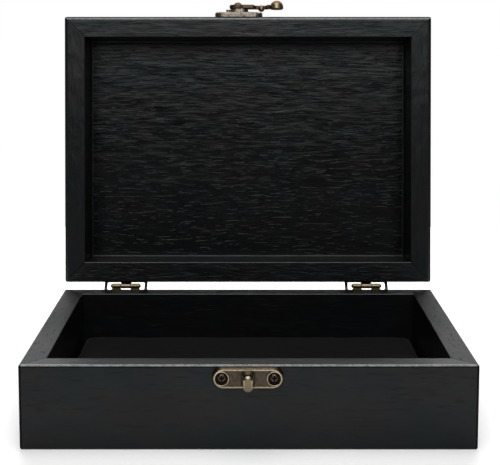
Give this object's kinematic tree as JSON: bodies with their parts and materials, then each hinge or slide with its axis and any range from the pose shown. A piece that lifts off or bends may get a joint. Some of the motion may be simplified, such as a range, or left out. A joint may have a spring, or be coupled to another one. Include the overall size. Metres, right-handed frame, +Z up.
{
  "type": "keepsake box",
  "caption": "Small hinged wooden box for papers and keepsakes, with mitred boards, stop hinges that hold the lid open and a swing hook latch.",
  "frame": {"origin": "centre of the base's footprint, on the surface that it stands on", "axes": "+Z up, -Y towards the front with the catch, +X to the right seen from the front"},
  "size_m": [0.2, 0.2022, 0.1944],
  "materials": {
    "painted_wood": "satin black paint over visible grain",
    "painted_panel": "satin black paint over fine grain",
    "pad_cloth": "short matt pile",
    "antique_brass": "antique, dark in the hollows and rubbed bright on the edges",
    "screw_brass": "antique, dark"
  },
  "bodies": {
    "base": {"base_front_board": "painted_wood", "base_back_board": "painted_wood", "base_left_board": "painted_wood", "base_right_board": "painted_wood", "base_bottom_panel": "painted_panel", "base_floor_pad": "pad_cloth", "left_hinge_base_leaf": "antique_brass", "right_hinge_base_leaf": "antique_brass", "left_hinge_pin": "antique_brass", "right_hinge_pin": "antique_brass", "left_hinge_base_screws": "screw_brass", "right_hinge_base_screws": "screw_brass", "catch_plate": "antique_brass", "catch_screws": "screw_brass"},
    "lid": {"lid_front_rail": "painted_wood", "lid_back_rail": "painted_wood", "lid_left_stile": "painted_wood", "lid_right_stile": "painted_wood", "lid_panel": "painted_panel", "left_hinge_lid_leaf": "antique_brass", "right_hinge_lid_leaf": "antique_brass", "left_hinge_lid_screws": "screw_brass", "right_hinge_lid_screws": "screw_brass", "latch_plate": "antique_brass", "latch_screws": "screw_brass", "latch_rivet": "antique_brass"},
    "latch": {"latch_arm": "antique_brass"}
  },
  "joints": [
    {"name": "lid_hinge", "type": "hinge", "parent": "base", "child": "lid", "pos_m": [0, 0.0747, 0.0393], "axis": [1, 0, 0], "range_deg": [0, 96]},
    {"name": "latch_swing", "type": "hinge", "parent": "lid", "child": "latch", "pos_m": [-0.0055, 0.09416, 0.18527], "axis": [0, 0.1045, 0.9945], "range_deg": [-56.5, 120]}
  ]
}
